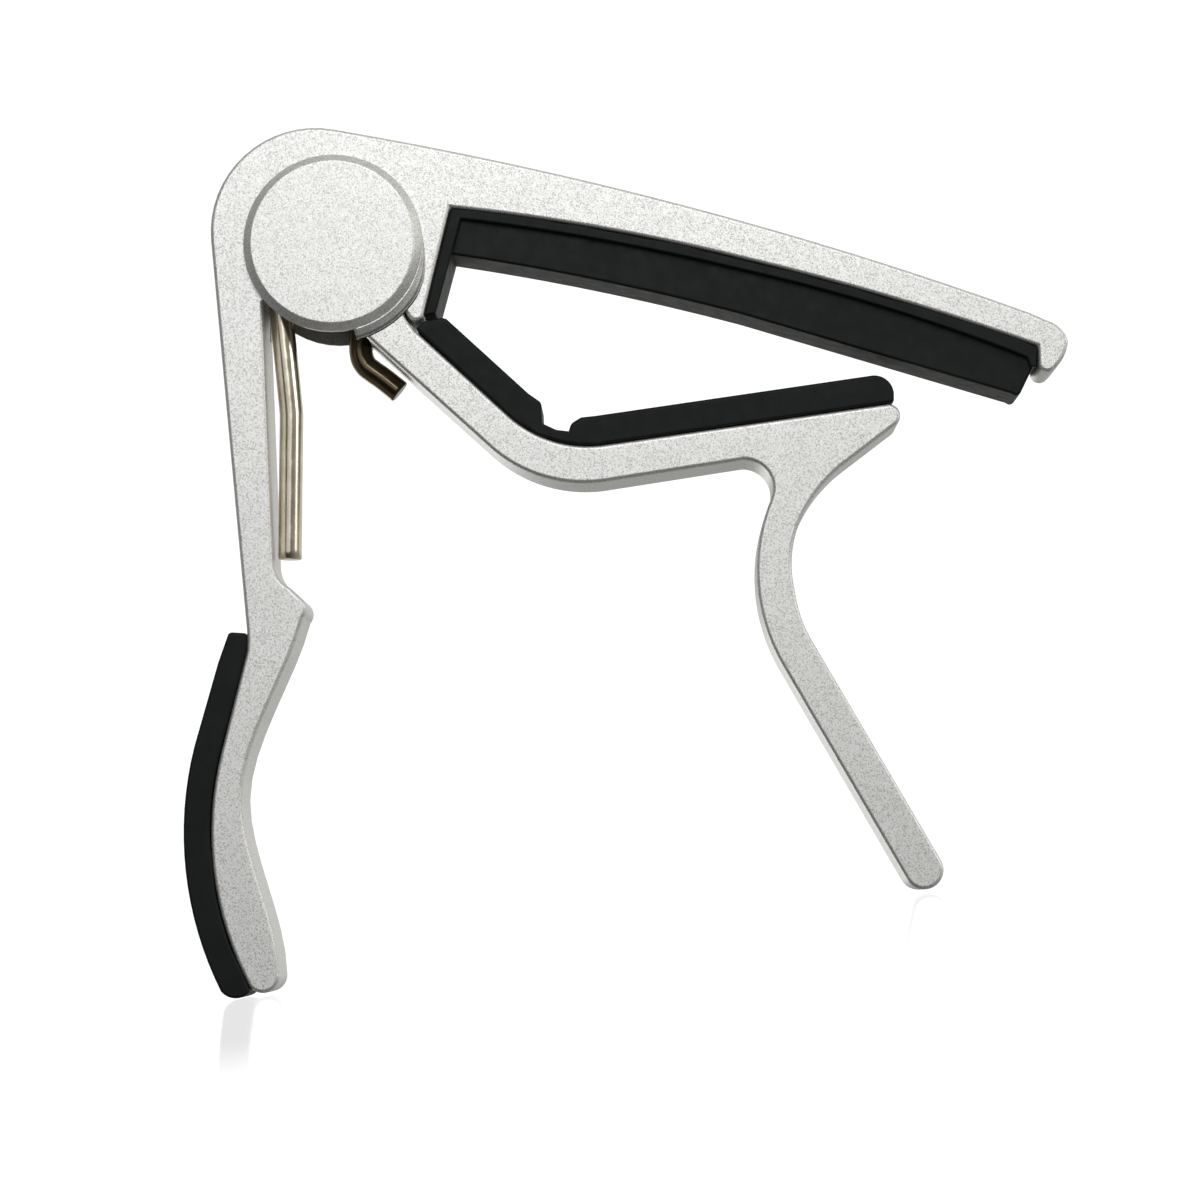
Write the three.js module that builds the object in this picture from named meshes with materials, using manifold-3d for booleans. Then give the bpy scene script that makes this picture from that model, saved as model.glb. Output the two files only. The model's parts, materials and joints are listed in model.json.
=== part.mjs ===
// Trigger-style spring capo for a guitar, in millimetres, +Z up.
//
// The profile lies in the XZ plane and the thickness runs along Y. Every outline is drawn around the
// pivot, with the clamping arm pointing along +X, and the whole capo is then leaned over until it
// stands on the ends of its handle and its trigger.

import * as THREE from 'three';
import { mergeVertices } from 'three/addons/utils/BufferGeometryUtils.js';
import Module from 'manifold-3d';

// ---------------------------------------------------------------- driving dimensions
const THICKNESS = 9.5; // both castings, along Y
const HALF = THICKNESS / 2;
const STANDING_LEAN = 8.8; // degrees that bring both feet onto the ground
const SEAT_GAP = 0.1; // between a rubber pad and the metal that it sits on

// pivot
const EAR_RADIUS = 9; // round ears of the lower jaw, outside the frame's lug
const EAR_INNER = HALF + 0.15; // inner face of an ear, as a distance from the middle plane
const EAR_OUTER = HALF + 1.45; // outer face
const EAR_CHAMFER = 0.75;
const PIN_RADIUS = 2.5;
const PIN_CHAMFER = 0.3;
const BORE_RADIUS = PIN_RADIUS + 0.08; // running fit
const BLIND_BORE_END = HALF + 0.95; // the pin's hole stops inside the front ear

// spring chamber in the frame's head
const CHAMBER_RADIUS = 7.6;
const CHAMBER_HALF = 3.35; // half of its width along Y
const LUG_RADIUS = 5.9; // rounded end of the two lug walls
const WASHER_RECESS_RADIUS = 4.7;
const WASHER_RECESS_FLOOR = HALF - 0.5;
const WASHER_RADIUS = 4.5;
const SLEEVE_RADIUS = 4.5;
const JAW_ROOT_RADIUS = 6.2; // hollow end of the jaw's arm, which turns round the lug walls
const JAW_SLOT_RADIUS = 10.2; // the same in the middle, where the spring's hook comes through

// torsion spring
const WIRE_RADIUS = 1.2;
const COIL_RADIUS = 6.05; // centreline
const COIL_PITCH = 2.46;
const COIL_SWEEP = 600; // degrees of winding between the leg and the hook
const COIL_START = 185.6; // degrees, where the leg leaves the coil
const LEG_POINTS = [[-4.4, -31.7], [-4.4, -26.5], [-4.35, -21], [-4.35, -16.6], [-4.95, -11], [-5.5, -6]];
const HOOK_POINTS = [[2.75, -6.1], [2.4, -8], [2.4, -10.4], [3.05, -11.6], [4.65, -12.8], [6.4, -14.2]];

// clamping arm
const HEAD_ARC = { x: -1.9, z: 1.4, radius: 10.5 }; // round outer corner of the frame
const THROAT_TOP = [11.8, 3.65];
const THROAT_FOOT = [9.15, -7.4];
const STRING_SEAT_MIDDLE = [41, -1.55];
const STRING_SEAT_END = [70.85, -10.5];
const LINING = 1; // full-width base of the string pad; its body is narrower
const PAD_BODY_WIDTH = 8;
const PAD_BODY_TOP = 0.35; // the body starts inside the lining, this far below the seat

// handle and its grip pad, which share one centre of curvature
const GRIP_TOP = -39.3;
const GRIP_KNEE = -41;
const GRIP_CENTRE = { x: 20.6, z: -59 };
const GRIP_SEAT_RADIUS = 32.5;
const GRIP_FACE_RADIUS = 35.25;
const GRIP_SLOPE = 13.7; // degrees from the vertical, above the curve
const GRIP_LIP_ANGLE = 207; // where the outer face turns into the lower lip

// trigger, the straight tail of the lower jaw
const TRIGGER_END = { x: 59.13, z: -62.93, radius: 1.96 };
const TRIGGER_LEAN = 29.9; // degrees from the vertical
const TRIGGER_BACK_ARC = { x: 61.43, z: -33.11, radius: 18.86 };
const TRIGGER_FRONT_ARC = { x: 59.46, z: -33.45, radius: 13.15 };

// mesh fineness
const CURVE_STEPS = 8;
const ROUND_SIDES = 48;
const WIRE_SIDES = 6;
const WIRE_STEPS = 84;

// ---------------------------------------------------------------- small helpers
const wasm = await Module();
wasm.setup();

const radians = THREE.MathUtils.degToRad;

function polar(centre, radius, degrees) {
  const angle = radians(degrees);
  return [centre.x + radius * Math.cos(angle), centre.z + radius * Math.sin(angle)];
}

// Adds to a shape the arc that runs from its current point through two more.
function arcThrough(shape, [mx, mz], [ex, ez]) {
  const { x: sx, y: sz } = shape.currentPoint;
  const d = 2 * (sx * (mz - ez) + mx * (ez - sz) + ex * (sz - mz));
  const s2 = sx * sx + sz * sz;
  const m2 = mx * mx + mz * mz;
  const e2 = ex * ex + ez * ez;
  const cx = (s2 * (mz - ez) + m2 * (ez - sz) + e2 * (sz - mz)) / d;
  const cz = (s2 * (ex - mx) + m2 * (sx - ex) + e2 * (mx - sx)) / d;
  const radius = Math.hypot(sx - cx, sz - cz);
  const from = Math.atan2(sz - cz, sx - cx);
  const to = Math.atan2(ez - cz, ex - cx);
  shape.absarc(cx, cz, radius, from, to, d < 0);
}

// A shape drawn in the XZ plane, thickened evenly on both sides of the middle plane.
function plate(shape, thickness = THICKNESS) {
  const options = { depth: thickness, bevelEnabled: false, curveSegments: CURVE_STEPS };
  const geometry = new THREE.ExtrudeGeometry(shape, options);
  geometry.rotateX(Math.PI / 2);
  geometry.translate(0, thickness / 2, 0);
  return geometry;
}

// A solid of revolution about the pivot axis, from [radius, y] pairs.
function turned(profile) {
  const points = profile.map(([radius, y]) => new THREE.Vector2(radius, y));
  return new THREE.LatheGeometry(points, ROUND_SIDES);
}

function cylinder(radius, low, high) {
  return turned([[0, low], [radius, low], [radius, high], [0, high]]);
}

function ring(inner, outer, low, high) {
  return turned([[inner, low], [outer, low], [outer, high], [inner, high], [inner, low]]);
}

function toSolid(geometry) {
  const bare = geometry.clone();
  bare.deleteAttribute('normal');
  bare.deleteAttribute('uv');
  const merged = mergeVertices(bare, 1e-4);
  const index = merged.index.array;
  const triangles = [];
  for (let i = 0; i < index.length; i += 3) {
    const [a, b, c] = [index[i], index[i + 1], index[i + 2]];
    if (a !== b && b !== c && c !== a) {
      triangles.push(a, b, c);
    }
  }
  const vertProperties = Float32Array.from(merged.attributes.position.array);
  const triVerts = Uint32Array.from(triangles);
  return new wasm.Manifold(new wasm.Mesh({ numProp: 3, vertProperties, triVerts }));
}

function toGeometry(solid) {
  const mesh = solid.getMesh();
  const geometry = new THREE.BufferGeometry();
  geometry.setAttribute('position', new THREE.BufferAttribute(mesh.vertProperties, 3));
  geometry.setIndex(new THREE.BufferAttribute(mesh.triVerts, 1));
  const flat = geometry.toNonIndexed();
  flat.computeVertexNormals();
  return flat;
}

function cut(body, ...tools) {
  return tools.reduce((left, tool) => left.subtract(toSolid(tool)), body);
}

// ---------------------------------------------------------------- materials
const aluminium = new THREE.MeshStandardMaterial({ color: 0xd2d4d4, roughness: 0.45, metalness: 0.9 });
const rubber = new THREE.MeshStandardMaterial({ color: 0x1a2120, roughness: 0.6, metalness: 0 });
const springSteel = new THREE.MeshStandardMaterial({ color: 0xb9ad97, roughness: 0.25, metalness: 1 });
const pinSteel = new THREE.MeshStandardMaterial({ color: 0x9a9da0, roughness: 0.35, metalness: 1 });
const nylon = new THREE.MeshStandardMaterial({ color: 0xe3dfd2, roughness: 0.55, metalness: 0 });

// ---------------------------------------------------------------- frame: clamping arm and handle
function frameShape() {
  const shape = new THREE.Shape();
  shape.moveTo(...THROAT_TOP);
  arcThrough(shape, [26, 1.65], STRING_SEAT_MIDDLE);
  arcThrough(shape, [56, -5.6], STRING_SEAT_END);

  // hooked tip of the arm and its top edge
  shape.lineTo(70.9, -12.4);
  arcThrough(shape, [71.55, -13.05], [72.55, -12.75]);
  arcThrough(shape, [73.55, -11.35], [73.9, -9.9]);
  arcThrough(shape, [73.2, -8.7], [71.8, -7.85]);
  shape.lineTo(70, -7.05);
  arcThrough(shape, [36, 3.75], polar(HEAD_ARC, HEAD_ARC.radius, 80));
  shape.absarc(HEAD_ARC.x, HEAD_ARC.z, HEAD_ARC.radius, radians(80), radians(185.7), false);

  // back of the handle, down to the seat of the grip pad and round the end
  shape.lineTo(-8.43, GRIP_TOP);
  shape.lineTo(-8.43, GRIP_KNEE);
  shape.lineTo(...polar(GRIP_CENTRE, GRIP_SEAT_RADIUS, 180 - GRIP_SLOPE));
  shape.absarc(GRIP_CENTRE.x, GRIP_CENTRE.z, GRIP_SEAT_RADIUS, radians(180 - GRIP_SLOPE), radians(208.5), false);
  arcThrough(shape, [-6.4, -75.15], [-5, -73.2]);

  // inner edge: palm swell, waist, ledge and the long flat that the spring's leg leans on
  shape.bezierCurveTo(-5.15, -67.6, -8.87, -61.2, -8.87, -55.8);
  shape.bezierCurveTo(-8.87, -50, -4.25, -43.5, -2.82, -37.7);
  arcThrough(shape, [-2.52, -36.65], [-2.95, -35.85]);
  shape.lineTo(-4.2, -34.7);
  arcThrough(shape, [-5.45, -33.5], [-5.88, -32]);
  shape.lineTo(-7.05, -6);

  // rounded end of the lug, then the finger that stops the jaw
  shape.lineTo(...polar({ x: 0, z: 0 }, LUG_RADIUS, 220));
  shape.absarc(0, 0, LUG_RADIUS, radians(220), radians(322), false);
  shape.lineTo(6.9, -5.4);
  arcThrough(shape, [7.2, -6.65], [7.75, -7.55]);
  arcThrough(shape, [8.2, -7.8], THROAT_FOOT);
  shape.closePath();
  return shape;
}

function upperFrame() {
  const chamber = cylinder(CHAMBER_RADIUS, -CHAMBER_HALF, CHAMBER_HALF);
  const bore = cylinder(BORE_RADIUS, -THICKNESS, THICKNESS);
  const frontRecess = cylinder(WASHER_RECESS_RADIUS, -THICKNESS, -WASHER_RECESS_FLOOR);
  const backRecess = cylinder(WASHER_RECESS_RADIUS, WASHER_RECESS_FLOOR, THICKNESS);
  const legSlot = new THREE.BoxGeometry(3.05, 2 * CHAMBER_HALF, 7);
  legSlot.translate(-5.525, 0, -5.5);
  return cut(toSolid(plate(frameShape())), chamber, bore, frontRecess, backRecess, legSlot);
}

// ---------------------------------------------------------------- lower jaw: arm, ears and trigger
function jawShape() {
  const back = TRIGGER_BACK_ARC;
  const front = TRIGGER_FRONT_ARC;
  const end = TRIGGER_END;
  const shape = new THREE.Shape();

  // hollow root round the lug, then the top edge under the neck pad
  shape.moveTo(...polar({ x: 0, z: 0 }, JAW_ROOT_RADIUS, -71.6));
  shape.absarc(0, 0, JAW_ROOT_RADIUS, radians(-71.6), radians(-41.3), false);
  shape.lineTo(6.75, -5.8);
  arcThrough(shape, [6.98, -6.8], [7.55, -7.85]);
  shape.lineTo(8.25, -8.75);
  shape.lineTo(17.76, -17.46);
  arcThrough(shape, [22.1, -19.95], [27.39, -20.37]);

  // beak
  shape.lineTo(55.8, -16.3);
  arcThrough(shape, [57, -17.25], [56.6, -18.4]);
  shape.lineTo(51.7, -22.15);

  // trigger, down its outer side and back up its inner side
  arcThrough(shape, [48.75, -25.05], [46.75, -28.6]);
  arcThrough(shape, [46.1, -32.1], polar(front, front.radius, 187));
  shape.absarc(front.x, front.z, front.radius, radians(187), radians(180 + TRIGGER_LEAN), false);
  const round = [radians(TRIGGER_LEAN), radians(TRIGGER_LEAN - 180)];
  shape.absarc(end.x, end.z, end.radius, round[0], round[1], true);
  shape.absarc(back.x, back.z, back.radius, radians(180 + TRIGGER_LEAN), radians(157.2), true);
  arcThrough(shape, [43.7, -23.15], [41.3, -21.95]);

  // underside of the arm
  shape.lineTo(27.99, -24.02);
  arcThrough(shape, [21.5, -23.75], [15.5, -20.35]);
  shape.lineTo(3, -9.03);
  shape.closePath();
  return shape;
}

function ear(side, boreEnd) {
  const inner = side * EAR_INNER;
  const outer = side * EAR_OUTER;
  const rim = outer - side * EAR_CHAMFER;
  const profile = [[0, inner], [EAR_RADIUS, inner], [EAR_RADIUS, rim], [EAR_RADIUS - EAR_CHAMFER, outer], [0, outer]];
  if (side < 0) {
    profile.reverse();
  }
  const bore = [side * HALF, side * boreEnd].sort((a, b) => a - b);
  return toSolid(turned(profile)).subtract(toSolid(cylinder(BORE_RADIUS, ...bore)));
}

function lowerJaw() {
  const slot = cylinder(JAW_SLOT_RADIUS, -CHAMBER_HALF - 0.05, CHAMBER_HALF + 0.05);
  const arm = cut(toSolid(plate(jawShape())), slot);
  // the arm is a little thicker under the ears, where the casting joins them
  const earBacking = cylinder(EAR_RADIUS - 0.3, -EAR_OUTER, EAR_OUTER);
  const root = toSolid(plate(jawShape(), 2 * EAR_INNER + 0.2)).intersect(toSolid(earBacking));
  const front = ear(-1, BLIND_BORE_END);
  const back = ear(1, EAR_OUTER + 1);
  return cut(arm.add(root), slot).add(front).add(back);
}

// ---------------------------------------------------------------- rubber pads
// Adds the top of the string pad, which follows the seat at a distance, from the throat to the far end.
function followSeat(shape, distance) {
  const [mx, mz] = STRING_SEAT_MIDDLE;
  const [ex, ez] = STRING_SEAT_END;
  arcThrough(shape, [26, 1.65 - distance], [mx, mz - distance]);
  arcThrough(shape, [56, -5.6 - distance], [ex - distance, ez - distance]);
}

function stringLiningShape() {
  const gap = SEAT_GAP;
  const depth = SEAT_GAP + LINING;
  const shape = new THREE.Shape();
  shape.moveTo(THROAT_TOP[0] + gap, THROAT_TOP[1] - gap);
  followSeat(shape, gap);

  // lip against the arm's hooked tip
  shape.lineTo(70.65, -12.6);
  shape.lineTo(70.1, -12.6);
  shape.lineTo(STRING_SEAT_END[0] - depth, STRING_SEAT_END[1] - depth);
  arcThrough(shape, [56, -5.6 - depth], [STRING_SEAT_MIDDLE[0], STRING_SEAT_MIDDLE[1] - depth]);
  arcThrough(shape, [26, 1.65 - depth], [THROAT_TOP[0] + depth, THROAT_TOP[1] - depth]);

  // leg that lines the throat
  shape.lineTo(10.37, -7.08);
  shape.lineTo(THROAT_FOOT[0] + gap, THROAT_FOOT[1] + gap);
  shape.closePath();
  return shape;
}

function stringBodyShape() {
  const shape = new THREE.Shape();
  shape.moveTo(THROAT_TOP[0] + PAD_BODY_TOP, THROAT_TOP[1] - PAD_BODY_TOP);
  followSeat(shape, PAD_BODY_TOP);

  // far end and the face that presses on the strings
  shape.lineTo(70.4, -12.55);
  shape.lineTo(69.2, -15);
  arcThrough(shape, [68.85, -15.35], [68.3, -15.2]);
  arcThrough(shape, [54.8, -11.15], [41, -7.05]);
  arcThrough(shape, [26.5, -3.6], [11.8, -0.95]);
  shape.closePath();
  return shape;
}

function stringPad() {
  const lining = toSolid(plate(stringLiningShape()));
  return lining.add(toSolid(plate(stringBodyShape(), PAD_BODY_WIDTH)));
}

function neckPadShape() {
  const gap = SEAT_GAP;
  const shape = new THREE.Shape();
  shape.moveTo(8.3, -8.65 + gap);
  shape.lineTo(9.35, -7.8);
  shape.lineTo(11.05, -7.5);
  shape.lineTo(11.45, -7.62);
  shape.lineTo(19.72, -15.2);

  // notch at the bend
  shape.lineTo(21, -16.1);
  shape.lineTo(21.1, -18.2);
  shape.lineTo(22.5, -18.85);
  shape.lineTo(23.75, -19);
  shape.lineTo(24, -18.2);
  shape.lineTo(25, -17.6);

  // long face behind the neck
  shape.lineTo(26.4, -17.45);
  shape.lineTo(54.3, -13.4);
  arcThrough(shape, [55.8, -13.95], [56.4, -15.2]);
  shape.lineTo(56.4, -16.15);
  shape.lineTo(55.8, -16.2);

  // seat on the jaw
  shape.lineTo(27.38, -20.37 + gap);
  arcThrough(shape, [22.13, -19.95 + gap], [17.83, -17.46 + gap]);
  shape.closePath();
  return shape;
}

function gripPadShape() {
  const seat = GRIP_SEAT_RADIUS + SEAT_GAP;
  const slopeStart = 180 - GRIP_SLOPE;
  const shape = new THREE.Shape();
  shape.moveTo(-8.43 - SEAT_GAP, GRIP_TOP);
  shape.lineTo(-8.43 - SEAT_GAP, GRIP_KNEE);
  shape.lineTo(...polar(GRIP_CENTRE, seat, slopeStart));
  shape.absarc(GRIP_CENTRE.x, GRIP_CENTRE.z, seat, radians(slopeStart), radians(209.3), false);

  // lower lip and the outer face
  arcThrough(shape, [-9.9, -75.6], polar(GRIP_CENTRE, GRIP_FACE_RADIUS, GRIP_LIP_ANGLE));
  const round = [radians(GRIP_LIP_ANGLE), radians(slopeStart)];
  shape.absarc(GRIP_CENTRE.x, GRIP_CENTRE.z, GRIP_FACE_RADIUS, round[0], round[1], true);
  shape.lineTo(-11.3, -42.2);
  shape.lineTo(-10.4, -39.6);
  arcThrough(shape, [-10.25, -39.32], [-9.95, -39.2]);
  shape.closePath();
  return shape;
}

// ---------------------------------------------------------------- pivot hardware
function pivotPin() {
  const low = -BLIND_BORE_END + 0.1;
  const high = EAR_OUTER;
  const nose = PIN_RADIUS - PIN_CHAMFER;
  const profile = [[0, low], [nose, low], [PIN_RADIUS, low + PIN_CHAMFER], [PIN_RADIUS, high - PIN_CHAMFER]];
  return turned([...profile, [nose, high], [0, high]]);
}

function thrustWasher(side) {
  const faces = [side * (WASHER_RECESS_FLOOR + 0.05), side * (EAR_INNER - 0.08)];
  faces.sort((a, b) => a - b);
  return ring(BORE_RADIUS, WASHER_RADIUS, ...faces);
}

function springSleeve() {
  return ring(BORE_RADIUS, SLEEVE_RADIUS, -CHAMBER_HALF + 0.05, CHAMBER_HALF - 0.05);
}

// ---------------------------------------------------------------- torsion spring
// The wire comes up the handle, winds clockwise round the sleeve from front to back, and hooks
// under the jaw's arm.
function springWire() {
  const halfRise = (COIL_PITCH * COIL_SWEEP) / 720;
  const points = LEG_POINTS.map(([x, z]) => new THREE.Vector3(x, -halfRise, z));
  const turns = 36;
  for (let i = 0; i <= turns; i += 1) {
    const share = i / turns;
    const [x, z] = polar({ x: 0, z: 0 }, COIL_RADIUS, COIL_START - COIL_SWEEP * share);
    points.push(new THREE.Vector3(x, halfRise * (2 * share - 1), z));
  }
  for (const [x, z] of HOOK_POINTS) {
    points.push(new THREE.Vector3(x, halfRise, z));
  }
  return new THREE.CatmullRomCurve3(points, false, 'centripetal');
}

function torsionSpring() {
  const section = new THREE.Shape();
  section.absarc(0, 0, WIRE_RADIUS, 0, 2 * Math.PI, false);
  const options = { steps: WIRE_STEPS, curveSegments: WIRE_SIDES, extrudePath: springWire() };
  return new THREE.ExtrudeGeometry(section, options);
}

// ---------------------------------------------------------------- assembly
function piece(name, geometry, material) {
  const mesh = new THREE.Mesh(geometry, material);
  mesh.name = name;
  return mesh;
}

const capo = new THREE.Group();
capo.add(piece('upper_frame', toGeometry(upperFrame()), aluminium));
capo.add(piece('string_pad', toGeometry(stringPad()), rubber));
capo.add(piece('grip_pad', plate(gripPadShape()), rubber));
capo.add(piece('lower_jaw', toGeometry(lowerJaw()), aluminium));
capo.add(piece('neck_pad', plate(neckPadShape()), rubber));
capo.add(piece('pivot_pin', pivotPin(), pinSteel));
capo.add(piece('spring_sleeve', springSleeve(), nylon));
capo.add(piece('thrust_washer_front', thrustWasher(-1), pinSteel));
capo.add(piece('thrust_washer_back', thrustWasher(1), pinSteel));
capo.add(piece('torsion_spring', torsionSpring(), springSteel));
capo.rotation.y = radians(STANDING_LEAN);

// origin on the ground, under the middle of the standing capo
const group = new THREE.Group();
group.add(capo);
group.updateMatrixWorld(true);
const box = new THREE.Box3().setFromObject(capo, true);
capo.position.set(-(box.min.x + box.max.x) / 2, 0, -box.min.z);

export default group;
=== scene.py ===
"""Looks of a trigger-style spring capo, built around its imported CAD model. Lengths are in metres."""

import json
import math

import bmesh
import bpy
from mathutils import Matrix, Vector
from mathutils.bvhtree import BVHTree


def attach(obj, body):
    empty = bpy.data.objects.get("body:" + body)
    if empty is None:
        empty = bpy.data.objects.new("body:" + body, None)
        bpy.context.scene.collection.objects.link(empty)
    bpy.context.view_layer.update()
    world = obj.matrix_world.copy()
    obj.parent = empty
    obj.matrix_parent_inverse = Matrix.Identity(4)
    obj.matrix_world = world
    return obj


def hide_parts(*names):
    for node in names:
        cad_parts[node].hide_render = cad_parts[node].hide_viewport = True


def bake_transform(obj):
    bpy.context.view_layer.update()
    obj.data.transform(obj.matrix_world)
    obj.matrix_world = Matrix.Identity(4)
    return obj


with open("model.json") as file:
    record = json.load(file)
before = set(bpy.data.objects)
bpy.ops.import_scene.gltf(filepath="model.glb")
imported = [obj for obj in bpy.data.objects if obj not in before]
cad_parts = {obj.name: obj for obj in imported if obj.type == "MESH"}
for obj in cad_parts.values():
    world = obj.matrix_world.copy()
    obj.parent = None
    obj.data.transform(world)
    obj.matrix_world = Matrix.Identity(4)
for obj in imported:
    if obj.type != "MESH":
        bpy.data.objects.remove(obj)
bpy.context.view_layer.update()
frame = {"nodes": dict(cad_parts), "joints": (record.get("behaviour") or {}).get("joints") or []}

MM = 0.001
PIVOT = Vector(frame["joints"][0]["pos_m"])
LEAN = math.radians(8.8)  # the outlines were drawn around the pivot, then leaned onto the feet
HALF = 4.75 * MM  # half the thickness of the castings
EAR_RADIUS = 9 * MM
EAR_INNER = 4.9 * MM  # inner face of an ear, from the middle plane


def from_drawing(x, z, y=0.0):
    """A point of the drawing, in millimetres around the pivot, in the row frame."""
    lean = Matrix.Rotation(LEAN, 3, "Y")
    return PIVOT + lean @ Vector((x, y, z)) * MM


# ---------------------------------------------------------------- camera
SENSOR = 36.0  # mm
LENS = 120.36
CAMERA_SPOT = (31.9, -66.0, -404.75)  # x, z, y in the drawing
CAMERA_AIM = (26.9, -36.0, -4.75)


def make_camera():
    data = bpy.data.cameras.new("camera")
    data.sensor_width = SENSOR
    data.lens = LENS
    data.clip_start = 0.01
    data.clip_end = 20
    camera = bpy.data.objects.new("camera", data)
    bpy.context.scene.collection.objects.link(camera)
    spot = from_drawing(*CAMERA_SPOT)
    forward = (from_drawing(*CAMERA_AIM) - spot).normalized()
    drawing_up = Matrix.Rotation(LEAN, 3, "Y") @ Vector((0, 0, 1))
    right = forward.cross(drawing_up).normalized()
    up = right.cross(forward)
    turn = Matrix((right, up, -forward)).transposed()
    camera.matrix_world = Matrix.Translation(spot) @ turn.to_4x4()
    bpy.context.scene.camera = camera


make_camera()


# ---------------------------------------------------------------- helpers
def smooth(share):
    """Eases from 0 to 1."""
    share = min(max(share, 0), 1)
    return share * share * (3 - 2 * share)


def new_material(name):
    material = bpy.data.materials.new(name)
    material.use_nodes = True
    tree = material.node_tree
    return material, tree, tree.nodes["Principled BSDF"]


def add(tree, kind, **inputs):
    node = tree.nodes.new(kind)
    for name, value in inputs.items():
        node.inputs[name.replace("_", " ")].default_value = value
    return node


def object_coordinates(tree):
    return tree.nodes.new("ShaderNodeTexCoord").outputs["Object"]


def noise(tree, size_mm, detail=2.0, roughness=0.5):
    node = add(tree, "ShaderNodeTexNoise", Scale=1000 / size_mm, Detail=detail, Roughness=roughness)
    tree.links.new(object_coordinates(tree), node.inputs["Vector"])
    return node.outputs["Fac"]


def ramp(tree, factor, stops):
    node = tree.nodes.new("ShaderNodeValToRGB")
    elements = node.color_ramp.elements
    while len(elements) < len(stops):
        elements.new(0.5)
    for element, (position, colour) in zip(elements, stops):
        element.position = position
        element.color = (*colour, 1)
    tree.links.new(factor, node.inputs["Fac"])
    return node.outputs["Color"]


def math_node(tree, operation, *values):
    node = tree.nodes.new("ShaderNodeMath")
    node.operation = operation
    for socket, value in zip(node.inputs, values):
        if isinstance(value, (int, float)):
            socket.default_value = value
        else:
            tree.links.new(value, socket)
    return node.outputs[0]


def blend_share(tree, value, low, high, most=1.0):
    """A factor that eases from 0 at low to most at high."""
    node = tree.nodes.new("ShaderNodeMapRange")
    node.interpolation_type = "SMOOTHSTEP"
    for name, number in (("From Min", low), ("From Max", high), ("To Min", 0), ("To Max", most)):
        node.inputs[name].default_value = number
    tree.links.new(value, node.inputs["Value"])
    return node.outputs["Result"]


def tinted(tree, share, colour, tint):
    """The colour multiplied by the tint where the share is 1."""
    node = tree.nodes.new("ShaderNodeMix")
    node.data_type = "RGBA"
    node.blend_type = "MULTIPLY"
    tree.links.new(share, node.inputs["Factor"])
    tree.links.new(colour, node.inputs["A"])
    node.inputs["B"].default_value = (*tint, 1)
    return node.outputs["Result"]


def axis_of(tree, output, axis):
    """One of the three numbers of a vector output."""
    node = tree.nodes.new("ShaderNodeSeparateXYZ")
    tree.links.new(output, node.inputs[0])
    return node.outputs[axis]


def bump(tree, height, strength, distance_mm, normal=None):
    node = add(tree, "ShaderNodeBump", Strength=strength, Distance=distance_mm * MM)
    tree.links.new(height, node.inputs["Height"])
    if normal is not None:
        tree.links.new(normal, node.inputs["Normal"])
    return node.outputs["Normal"]


def grey(value):
    return (value, value, value)


# ---------------------------------------------------------------- materials
def blasted_aluminium():
    """Sand-blasted and clear anodised: a fine sparkling grain over a faint unevenness, with painted shade on
    the ears' inner faces.
    """
    material, tree, shader = new_material("blasted_aluminium")
    grain = noise(tree, 0.13, detail=1.5, roughness=0.6)
    stops = [(0.36, (0.56, 0.56, 0.547)), (0.49, (0.88, 0.88, 0.865)), (0.66, (0.97, 0.97, 0.96))]
    tone = ramp(tree, grain, stops)
    # only the ears' inner faces lie at this depth; painted shade darkens them, standing in for the shade
    # that falls between the ears
    depth = math_node(tree, "ABSOLUTE", axis_of(tree, object_coordinates(tree), "Y"))
    painted_shade_share = math_node(tree, "COMPARE", depth, EAR_INNER, 0.05 * MM)
    tree.links.new(tinted(tree, painted_shade_share, tone, grey(0.4)), shader.inputs["Base Color"])
    rough = ramp(tree, noise(tree, 0.5, detail=2), [(0.3, grey(0.45)), (0.7, grey(0.5))])
    tree.links.new(rough, shader.inputs["Roughness"])
    uneven = bump(tree, noise(tree, 1.3, detail=1), 0.03, 0.05)
    tree.links.new(bump(tree, grain, 0.36, 0.02, uneven), shader.inputs["Normal"])
    shader.inputs["Metallic"].default_value = 0.9
    return material


def pad_rubber():
    material, tree, shader = new_material("pad_rubber")
    stops = [(0.3, (0.006, 0.0085, 0.0082)), (0.7, (0.0085, 0.0115, 0.011))]
    tone = ramp(tree, noise(tree, 3.0, detail=4), stops)
    tree.links.new(tone, shader.inputs["Base Color"])
    rough = ramp(tree, noise(tree, 1.2, detail=3), [(0.3, grey(0.46)), (0.7, grey(0.58))])
    tree.links.new(rough, shader.inputs["Roughness"])
    fine = bump(tree, noise(tree, 0.12, detail=2), 0.2, 0.02)
    tree.links.new(bump(tree, noise(tree, 2.5, detail=1), 0.25, 0.05, fine), shader.inputs["Normal"])
    shader.inputs["Specular IOR Level"].default_value = 0.2
    return material


def spring_steel():
    material, tree, shader = new_material("spring_steel")
    tone = ramp(tree, noise(tree, 2.0, detail=5), [(0.3, (0.66, 0.585, 0.46)), (0.7, (0.84, 0.78, 0.66))])
    # painted shade: darker towards the hook, which lies in the shade under the ear
    across = axis_of(tree, tree.nodes.new("ShaderNodeTexCoord").outputs["Generated"], "X")
    painted_hook_shade = blend_share(tree, across, 0.45, 0.6)
    tree.links.new(tinted(tree, painted_hook_shade, tone, (0.2, 0.17, 0.13)), shader.inputs["Base Color"])
    rough = ramp(tree, noise(tree, 0.6, detail=3), [(0.3, grey(0.14)), (0.7, grey(0.26))])
    tree.links.new(rough, shader.inputs["Roughness"])
    tree.links.new(bump(tree, noise(tree, 0.4, detail=3), 0.2, 0.01), shader.inputs["Normal"])
    shader.inputs["Metallic"].default_value = 1
    return material


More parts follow.
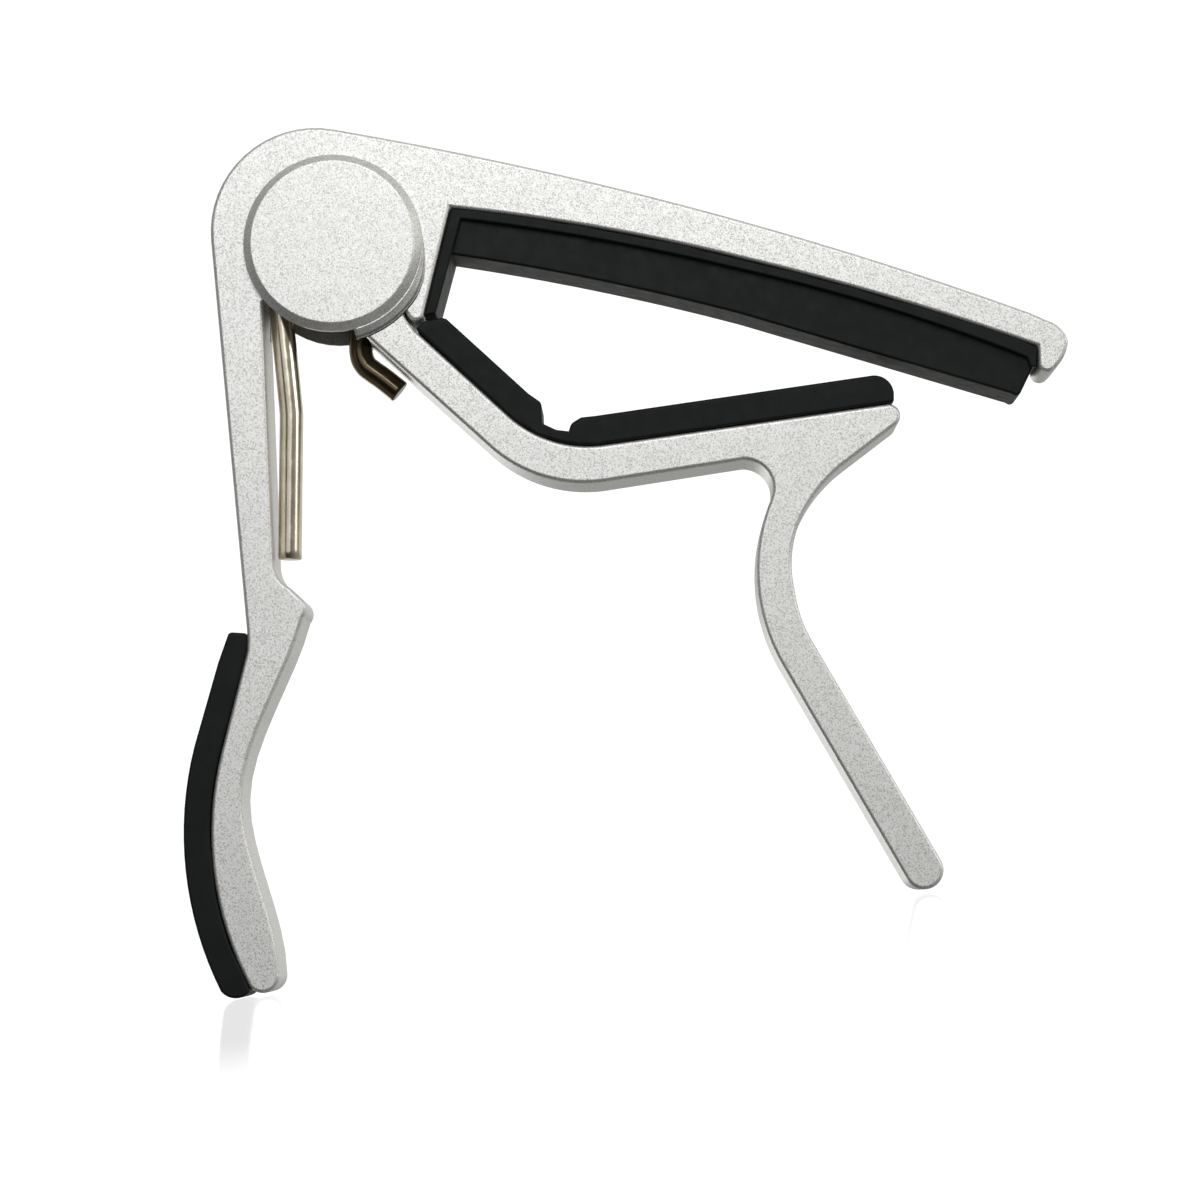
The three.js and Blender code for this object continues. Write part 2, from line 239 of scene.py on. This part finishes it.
def pin_steel():
    material, tree, shader = new_material("pin_steel")
    tone = ramp(tree, noise(tree, 0.8, detail=4), [(0.3, grey(0.42)), (0.7, grey(0.55))])
    tree.links.new(tone, shader.inputs["Base Color"])
    rough = ramp(tree, noise(tree, 0.3, detail=3), [(0.3, grey(0.25)), (0.7, grey(0.4))])
    tree.links.new(rough, shader.inputs["Roughness"])
    tree.links.new(bump(tree, noise(tree, 0.2, detail=3), 0.3, 0.01), shader.inputs["Normal"])
    shader.inputs["Metallic"].default_value = 1
    return material


def sleeve_nylon():
    material, tree, shader = new_material("sleeve_nylon")
    tone = ramp(tree, noise(tree, 1.5, detail=3), [(0.3, (0.6, 0.57, 0.48)), (0.7, (0.68, 0.65, 0.56))])
    tree.links.new(tone, shader.inputs["Base Color"])
    shader.inputs["Roughness"].default_value = 0.45
    shader.inputs["Subsurface Weight"].default_value = 0.1
    shader.inputs["Subsurface Scale"].default_value = 0.5 * MM
    return material


ALUMINIUM = blasted_aluminium()
RUBBER = pad_rubber()
SPRING_STEEL = spring_steel()
PIN_STEEL = pin_steel()
NYLON = sleeve_nylon()


# ---------------------------------------------------------------- castings and pads, from the CAD nodes
FLAT_ANGLE = math.radians(0.4)  # faces that turn less than this become one
EDGE_ANGLE = math.radians(30)  # an edge that turns less than this stays smooth
SLACK = 0.02 * MM  # within this of a plane counts as on it
RECESS_ZONE = 5.5 * MM  # edges nearer to the pivot than this belong to the washers' recesses, and stay sharp
RIM_ZONE = 8 * MM  # edges further out than this belong to an ear's rim
EAR_PROUD = 0.3 * MM  # an ear's rim stands at least this far out of the castings' faces
SEAT_REACH = 0.16 * MM  # how far a pad's seat is from the metal at most
PAD_MERGE = 0.09  # mm, closes the small steps in a pad's outline

CASTING_EDGE = 0.4  # mm, rounding of the castings' outlines
EAR_EDGE = 0.14
PAD_EDGE = 0.28
LINING_EDGE = 0.2
STRING_BODY_HALF = 4.0 * MM  # the string pad's body is narrower than its lining

FILLET_FROM = 12  # degrees in the drawing
FILLET_TO = -76
FILLET_GROWTH = 0.55  # share of that sweep over which the fillet grows to its full size
FILLET_SIZE = 1.1  # mm, as are the next five
FILLET_LEAST = 0.02
FILLET_HEIGHT = 0.6
FILLET_FLOOR = 4.8  # from the middle plane, just clear of the frame
FILLET_LAP = 0.02  # how far its top reaches into the rim
FILLET_ROOT = 0.4  # how far its foot reaches into the rim
FILLET_HOLLOW = 1.4  # 1 is a straight slope
FILLET_STEPS = 36
FILLET_ARC_STEPS = 6


def clean_copy(node_name, merge_mm=0.001):
    """A bmesh of a CAD node with shared vertices, and its flat stretches as single faces."""
    mesh = bmesh.new()
    mesh.from_mesh(frame["nodes"][node_name].data)
    bmesh.ops.remove_doubles(mesh, verts=mesh.verts, dist=merge_mm * MM)
    bmesh.ops.dissolve_limit(mesh, angle_limit=FLAT_ANGLE, verts=mesh.verts, edges=mesh.edges)
    mesh.normal_update()
    return mesh


def link_piece(name, mesh, node_name, material):
    data = bpy.data.meshes.new(name)
    mesh.to_mesh(data)
    mesh.free()
    piece = bpy.data.objects.new(name, data)
    bpy.context.scene.collection.objects.link(piece)
    data.materials.append(material)
    for polygon in data.polygons:
        polygon.use_smooth = True
    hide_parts(node_name)
    return piece


def round_edges(piece, bevel_mm):
    bevel = piece.modifiers.new("rounded_edges", "BEVEL")
    bevel.limit_method = "WEIGHT"
    bevel.width = bevel_mm * MM
    bevel.segments = 3
    bevel.use_clamp_overlap = False
    bevel.harden_normals = True
    normals = piece.modifiers.new("face_normals", "WEIGHTED_NORMAL")
    normals.keep_sharp = True


def weigh_edges(mesh, choose):
    """Marks edges for the bevel with the weight that choose(edge) gives."""
    layer = mesh.edges.layers.float.new("bevel_weight_edge")
    for edge in mesh.edges:
        if len(edge.link_faces) == 2 and edge.calc_face_angle(0) > EDGE_ANGLE:
            edge[layer] = choose(edge)
            edge.smooth = edge[layer] > 0


def radius_of(point):
    return Vector((point.x - PIVOT.x, point.z - PIVOT.z)).length


def lies_at(edge, distance):
    """Whether an edge runs along a face that is this far from the middle plane."""
    return all(abs(abs(vertex.co.y) - distance) < SLACK for vertex in edge.verts)


def casting_edge(edge):
    """The bevel weight of a casting's edge: full on the outlines, less on the ears' rims."""
    middle = (edge.verts[0].co + edge.verts[1].co) / 2
    if lies_at(edge, HALF):
        return 1.0 if radius_of(middle) > RECESS_ZONE else 0.0
    if abs(middle.y) > HALF + EAR_PROUD and radius_of(middle) > RIM_ZONE:
        return EAR_EDGE / CASTING_EDGE
    return 0.0


def casting(name, node_name, body, more=None):
    mesh = clean_copy(node_name)
    weigh_edges(mesh, casting_edge)
    if more is not None:
        more(mesh)
    piece = link_piece(name, mesh, node_name, ALUMINIUM)
    round_edges(piece, CASTING_EDGE)
    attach(piece, body)


def add_ear_fillets(mesh):
    """The casting's soft blend between each ear's rim and the jaw's arm, which fades out up the rim."""
    for side in (-1, 1):
        rows = []
        for step in range(FILLET_STEPS + 1):
            share = step / FILLET_STEPS
            angle = math.radians(FILLET_FROM + (FILLET_TO - FILLET_FROM) * share)
            size = max(FILLET_SIZE * smooth(share / FILLET_GROWTH), FILLET_LEAST)
            rows.append([mesh.verts.new(spot) for spot in fillet_section(angle, size, side)])
        for near, far in zip(rows, rows[1:]):
            for index in range(len(near)):
                after = (index + 1) % len(near)
                mesh.faces.new((near[index], near[after], far[after], far[index]))
        mesh.faces.new(rows[0])
        mesh.faces.new(reversed(rows[-1]))
    bmesh.ops.recalc_face_normals(mesh, faces=mesh.faces)


def fillet_section(angle, size, side):
    """A hollow slope from the ear's chamfer out to the arm's face, closed by a corner inside the rim."""
    rim = EAR_RADIUS / MM
    spots = []
    for step in range(FILLET_ARC_STEPS + 1):
        share = step / FILLET_ARC_STEPS
        lift = FILLET_HEIGHT * (1 - share) ** FILLET_HOLLOW
        spots.append((rim - FILLET_LAP + size * share, FILLET_FLOOR + lift))
    spots.append((rim - FILLET_ROOT, FILLET_FLOOR))
    return [
        from_drawing(radius * math.cos(angle), radius * math.sin(angle), side * height)
        for radius, height in spots
    ]


def seat_on(mesh, metal_name):
    """Moves the pad's seat onto the metal that it is bonded to."""
    metal = bmesh.new()
    metal.from_mesh(frame["nodes"][metal_name].data)
    tree = BVHTree.FromBMesh(metal)
    for vertex in mesh.verts:
        spot, normal, _, distance = tree.find_nearest(vertex.co)
        on_side_face = spot is not None and abs(normal.y) < 0.5
        if on_side_face and distance < SEAT_REACH:
            vertex.co.x = spot.x
            vertex.co.z = spot.z
    metal.free()


def pad_edge(edge):
    """The bevel weight of a pad's edge: full on the outer corners along its two faces."""
    if edge.calc_face_angle_signed(0) < 0:
        return 0.0
    return 1.0 if lies_at(edge, HALF) or lies_at(edge, STRING_BODY_HALF) else 0.0


def string_pad_edge(edge):
    return pad_edge(edge) * (LINING_EDGE / PAD_EDGE if lies_at(edge, HALF) else 1.0)


def pad(name, node_name, metal_name, body, choose=pad_edge):
    mesh = clean_copy(node_name, merge_mm=PAD_MERGE)
    seat_on(mesh, metal_name)
    weigh_edges(mesh, choose)
    piece = link_piece(name, mesh, node_name, RUBBER)
    round_edges(piece, PAD_EDGE)
    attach(piece, body)


casting("arm_and_handle", "upper_frame", "frame")
casting("jaw_and_trigger", "lower_jaw", "jaw", add_ear_fillets)
pad("string_pad_rubber", "string_pad", "upper_frame", "frame", string_pad_edge)
pad("grip_pad_rubber", "grip_pad", "upper_frame", "frame")
pad("neck_pad_rubber", "neck_pad", "lower_jaw", "jaw")


# ---------------------------------------------------------------- torsion spring
WIRE_RADIUS = 1.2  # mm, as are the other lengths of the spring
WIRE_SIDES = 28
END_CHAMFER = 0.12
COIL_RADIUS = 6.05
COIL_START = 185.6  # degrees
COIL_SWEEP = 600
HALF_RISE = 2.05
LEG = [(-4.4, -31.7), (-4.38, -26.5), (-4.35, -21), (-4.33, -17.6), (-4.4, -16.2), (-4.95, -11), (-5.5, -6)]
HOOK = [(2.75, -6.1), (2.4, -8), (2.4, -10.2), (2.85, -11.4), (3.6, -12.05), (4.75, -12.87), (6.4, -14.2)]
POINTS_A_SPAN = 6
COIL_STEPS = 110


def spline(controls):
    """Points of a smooth curve through the controls."""
    ends = [2 * controls[0] - controls[1], *controls, 2 * controls[-1] - controls[-2]]
    points = []
    for before, start, end, after in zip(ends, ends[1:], ends[2:], ends[3:]):
        for step in range(POINTS_A_SPAN):
            t = step / POINTS_A_SPAN
            tangent_in = (end - before) / 2 * t * (1 - t) ** 2
            tangent_out = (after - start) / 2 * t * t * (t - 1)
            points.append(start.lerp(end, smooth(t)) + tangent_in + tangent_out)
    return [*points, controls[-1]]


def spring_path():
    leg = spline([Vector((x, z, -HALF_RISE)) for x, z in LEG])
    coil = []
    for step in range(1, COIL_STEPS):
        share = step / COIL_STEPS
        angle = math.radians(COIL_START - COIL_SWEEP * share)
        rise = HALF_RISE * (2 * share - 1)
        coil.append(Vector((COIL_RADIUS * math.cos(angle), COIL_RADIUS * math.sin(angle), rise)))
    hook = spline([Vector((x, z, HALF_RISE)) for x, z in HOOK])
    return [from_drawing(*spot) for spot in [*leg, *coil, *hook]]


def ring_of(mesh, centre, side, up, radius):
    ring = []
    for index in range(WIRE_SIDES):
        angle = 2 * math.pi * index / WIRE_SIDES
        offset = side * math.cos(angle) + up * math.sin(angle)
        ring.append(mesh.verts.new(centre + offset * radius * MM))
    return ring


def wire(path):
    """A round wire along the path, cut flat at both ends with a small chamfer."""
    mesh = bmesh.new()
    rings = []
    side = Vector((0, 1, 0))
    last = len(path) - 1
    for index, spot in enumerate(path):
        ahead = (path[min(index + 1, last)] - path[max(index - 1, 0)]).normalized()
        up = ahead.cross(side).normalized()
        side = up.cross(ahead).normalized()
        if index in (0, last):
            inward = ahead * END_CHAMFER * MM * (1 if index == 0 else -1)
            pair = [(spot, WIRE_RADIUS - END_CHAMFER), (spot + inward, WIRE_RADIUS)]
            for centre, radius in pair if index == 0 else reversed(pair):
                rings.append(ring_of(mesh, centre, side, up, radius))
        else:
            rings.append(ring_of(mesh, spot, side, up, WIRE_RADIUS))
    for near, far in zip(rings, rings[1:]):
        for index in range(WIRE_SIDES):
            after = (index + 1) % WIRE_SIDES
            mesh.faces.new((near[index], near[after], far[after], far[index]))
    for cap in (mesh.faces.new(rings[0]), mesh.faces.new(rings[-1])):
        for edge in cap.edges:
            edge.smooth = False
    bmesh.ops.recalc_face_normals(mesh, faces=mesh.faces)
    return mesh


def make_spring():
    spring = link_piece("wound_spring", wire(spring_path()), "torsion_spring", SPRING_STEEL)
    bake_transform(spring)


make_spring()

for node_name, material in (
    ("pivot_pin", PIN_STEEL),
    ("thrust_washer_front", PIN_STEEL),
    ("thrust_washer_back", PIN_STEEL),
    ("spring_sleeve", NYLON),
):
    for slot in frame["nodes"][node_name].material_slots:
        slot.material = material


# ---------------------------------------------------------------- floor, light and air
FLOOR_DROP = 0.05 * MM
FLOOR_GLOSS = 0.6
FLOOR_MIDDLE = 0.22  # m from the middle, where the gloss starts to fade
FLOOR_EDGE = 0.32
BACKDROP_STRENGTH = 1.12
ROOM_LEVEL = 0.39
ROOM_LEAN = (0.17, 0.27, 0.08)  # how much brighter towards +X, +Y and +Z
ROOM_LEAST = 0.02
ROOM_BELOW = 0.6  # how bright the room is below the ground, as a share
GROUND_FROM = 0.05  # upward part of the direction, where the room starts to darken
GROUND_TO = -0.5


def make_floor():
    """A clear sheet, glossy from above and around the feet only, which throws no light back up."""
    bpy.ops.mesh.primitive_plane_add(size=1, location=(0, 0, -FLOOR_DROP))
    floor = bpy.context.object
    floor.name = "floor"
    material = bpy.data.materials.new("glossy_sheet")
    material.use_nodes = True
    tree = material.node_tree
    tree.nodes.clear()
    away = tree.nodes.new("ShaderNodeVectorMath")
    away.operation = "LENGTH"
    tree.links.new(object_coordinates(tree), away.inputs[0])
    above = math_node(tree, "SUBTRACT", 1, tree.nodes.new("ShaderNodeNewGeometry").outputs["Backfacing"])
    faded = blend_share(tree, away.outputs["Value"], FLOOR_EDGE, FLOOR_MIDDLE, FLOOR_GLOSS)
    share = math_node(tree, "MULTIPLY", faded, above)
    gloss = tree.nodes.new("ShaderNodeBsdfGlossy")
    gloss.inputs["Roughness"].default_value = 0.03
    tree.links.new(share, gloss.inputs["Color"])
    clear = tree.nodes.new("ShaderNodeBsdfTransparent")
    tree.links.new(math_node(tree, "MULTIPLY_ADD", share, -0.5, 1), clear.inputs["Color"])
    both = tree.nodes.new("ShaderNodeAddShader")
    tree.links.new(clear.outputs[0], both.inputs[0])
    tree.links.new(gloss.outputs[0], both.inputs[1])
    output = tree.nodes.new("ShaderNodeOutputMaterial")
    tree.links.new(both.outputs[0], output.inputs["Surface"])
    floor.data.materials.append(material)
    floor.visible_diffuse = False
    floor.visible_glossy = False
    floor.visible_shadow = False


def area_light(name, location, aim, size, power, colour=(1, 1, 1)):
    """A round softbox, size across in metres and power in watts."""
    data = bpy.data.lights.new(name, "AREA")
    data.shape = "DISK"
    data.size = size
    data.energy = power
    data.color = colour
    light = bpy.data.objects.new(name, data)
    bpy.context.scene.collection.objects.link(light)
    light.location = location
    light.rotation_euler = (Vector(aim) - Vector(location)).to_track_quat("-Z", "Y").to_euler()


def make_world():
    """A white backdrop for the camera, and for the metal a room that is brighter behind and to the right."""
    world = bpy.data.worlds.new("studio")
    bpy.context.scene.world = world
    world.use_nodes = True
    tree = world.node_tree
    backdrop = tree.nodes["Background"]
    backdrop.inputs["Color"].default_value = (1, 1, 1, 1)
    backdrop.inputs["Strength"].default_value = BACKDROP_STRENGTH

    direction = tree.nodes.new("ShaderNodeTexCoord").outputs["Generated"]
    lean = tree.nodes.new("ShaderNodeVectorMath")
    lean.operation = "DOT_PRODUCT"
    tree.links.new(direction, lean.inputs[0])
    lean.inputs[1].default_value = ROOM_LEAN
    level = math_node(tree, "ADD", lean.outputs["Value"], ROOM_LEVEL)
    loss = blend_share(tree, axis_of(tree, direction, "Z"), GROUND_FROM, GROUND_TO, 1 - ROOM_BELOW)
    dimmed = math_node(tree, "MULTIPLY", level, math_node(tree, "SUBTRACT", 1, loss))

    room = tree.nodes.new("ShaderNodeBackground")
    room.inputs["Color"].default_value = (1, 0.995, 0.96, 1)
    tree.links.new(math_node(tree, "MAXIMUM", dimmed, ROOM_LEAST), room.inputs["Strength"])
    seen = tree.nodes.new("ShaderNodeLightPath").outputs["Is Camera Ray"]
    mix = tree.nodes.new("ShaderNodeMixShader")
    tree.links.new(seen, mix.inputs["Fac"])
    tree.links.new(room.outputs[0], mix.inputs[1])
    tree.links.new(backdrop.outputs[0], mix.inputs[2])
    tree.links.new(mix.outputs[0], tree.nodes["World Output"].inputs["Surface"])


make_floor()
make_world()
area_light("key_softbox", (0.04, -0.52, 0.34), (0, 0, 0.05), size=0.4, power=1.1)
area_light("fill_softbox", (-0.25, -1.2, 0.3), (0, 0, 0.04), size=0.9, power=1.15)
area_light("right_strip", (0.7, -0.35, 0.15), (0, 0, 0.04), size=0.3, power=0.8, colour=(1, 0.98, 0.93))
area_light("left_rim", (-0.35, 0.55, -0.1), (0.02, 0, 0.03), size=0.3, power=0.45)
bpy.context.scene.view_settings.view_transform = "Standard"
